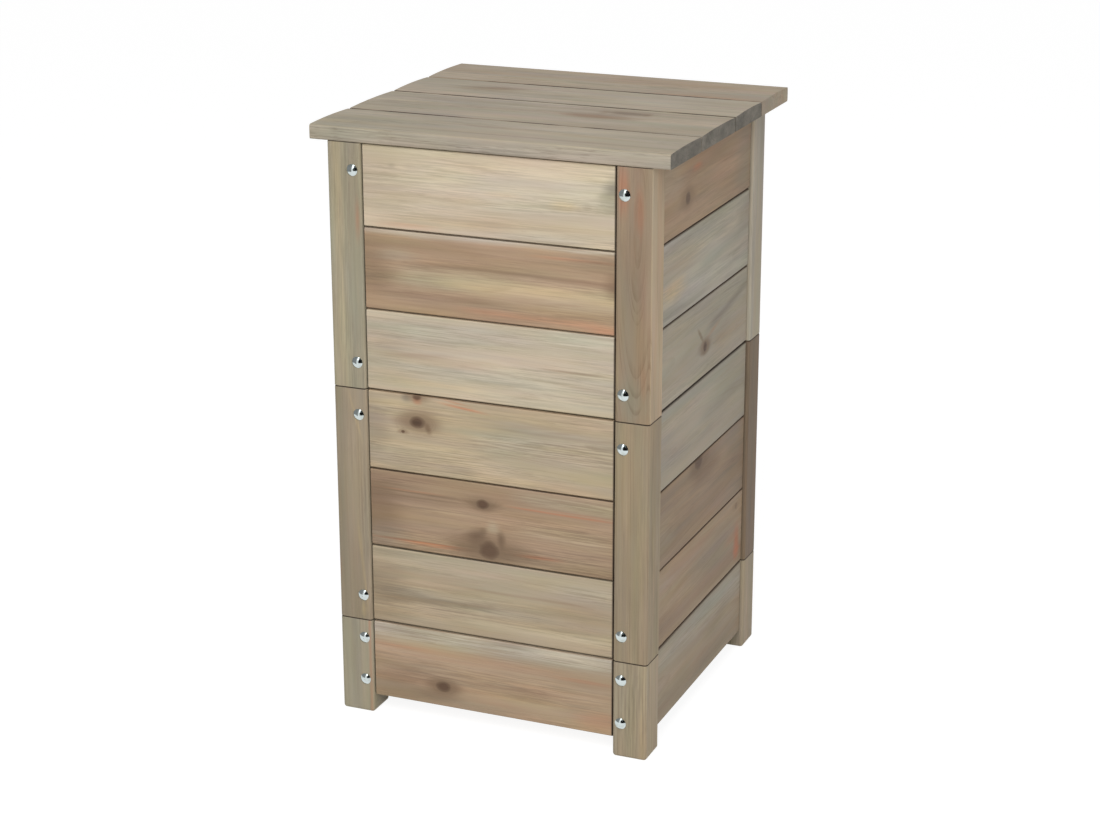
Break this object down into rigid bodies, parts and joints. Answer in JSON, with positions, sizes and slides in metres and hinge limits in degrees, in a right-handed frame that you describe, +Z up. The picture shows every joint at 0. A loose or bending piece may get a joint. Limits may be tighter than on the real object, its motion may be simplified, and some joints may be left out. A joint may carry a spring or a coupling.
{
  "type": "worm composter",
  "caption": "Square wooden worm composter: low legged base with drip tray, stacking slatted-floor boxes that lift apart, and a loose board lid.",
  "frame": {"origin": "on the floor, at the middle of the space that the whole composter takes up", "axes": "+Z up, the front with its bolt heads faces -Y, +X to the right seen from the front"},
  "size_m": [0.464, 0.4486, 0.7693],
  "materials": {
    "board_wood": "stained, satin",
    "post_wood": "stained, satin",
    "lid_wood": "stained, satin",
    "inner_wood": "stained, rough sawn",
    "zinc_steel": "zinc plated",
    "tray_plastic": "fine texture"
  },
  "bodies": {
    "base": {"base_back_board": "board_wood", "base_battens": "inner_wood", "base_bolts": "zinc_steel", "base_front_board": "board_wood", "base_left_board": "board_wood", "base_leg_back_left": "post_wood", "base_leg_back_right": "post_wood", "base_leg_front_left": "post_wood", "base_leg_front_right": "post_wood", "base_nuts": "zinc_steel", "base_right_board": "board_wood", "base_tray_bearers": "inner_wood", "drip_tray": "tray_plastic"},
    "lower_box": {"lower_back_board_1": "board_wood", "lower_back_board_2": "board_wood", "lower_back_board_3": "board_wood", "lower_battens": "inner_wood", "lower_bolts": "zinc_steel", "lower_floor_bearers": "inner_wood", "lower_floor_slats": "inner_wood", "lower_front_board_1": "board_wood", "lower_front_board_2": "board_wood", "lower_front_board_3": "board_wood", "lower_left_board_1": "board_wood", "lower_left_board_2": "board_wood", "lower_left_board_3": "board_wood", "lower_nuts": "zinc_steel", "lower_post_back_left": "post_wood", "lower_post_back_right": "post_wood", "lower_post_front_left": "post_wood", "lower_post_front_right": "post_wood", "lower_right_board_1": "board_wood", "lower_right_board_2": "board_wood", "lower_right_board_3": "board_wood"},
    "upper_box": {"upper_back_board_1": "board_wood", "upper_back_board_2": "board_wood", "upper_back_board_3": "board_wood", "upper_battens": "inner_wood", "upper_bolts": "zinc_steel", "upper_floor_bearers": "inner_wood", "upper_floor_slats": "inner_wood", "upper_front_board_1": "board_wood", "upper_front_board_2": "board_wood", "upper_front_board_3": "board_wood", "upper_left_board_1": "board_wood", "upper_left_board_2": "board_wood", "upper_left_board_3": "board_wood", "upper_nuts": "zinc_steel", "upper_post_back_left": "post_wood", "upper_post_back_right": "post_wood", "upper_post_front_left": "post_wood", "upper_post_front_right": "post_wood", "upper_right_board_1": "board_wood", "upper_right_board_2": "board_wood", "upper_right_board_3": "board_wood"},
    "lid": {"lid_battens": "inner_wood", "lid_board_1": "lid_wood", "lid_board_2": "lid_wood", "lid_board_3": "lid_wood", "lid_board_4": "lid_wood"}
  },
  "joints": [
    {"name": "lower_box_lift", "type": "slide", "parent": "base", "child": "lower_box", "axis": [0, 0, 1], "range_m": [0, 0.25]},
    {"name": "upper_box_lift", "type": "slide", "parent": "lower_box", "child": "upper_box", "axis": [0, 0, 1], "range_m": [0, 0.25]},
    {"name": "lid_lift", "type": "slide", "parent": "upper_box", "child": "lid", "axis": [0, 0, 1], "range_m": [0, 0.3]}
  ]
}
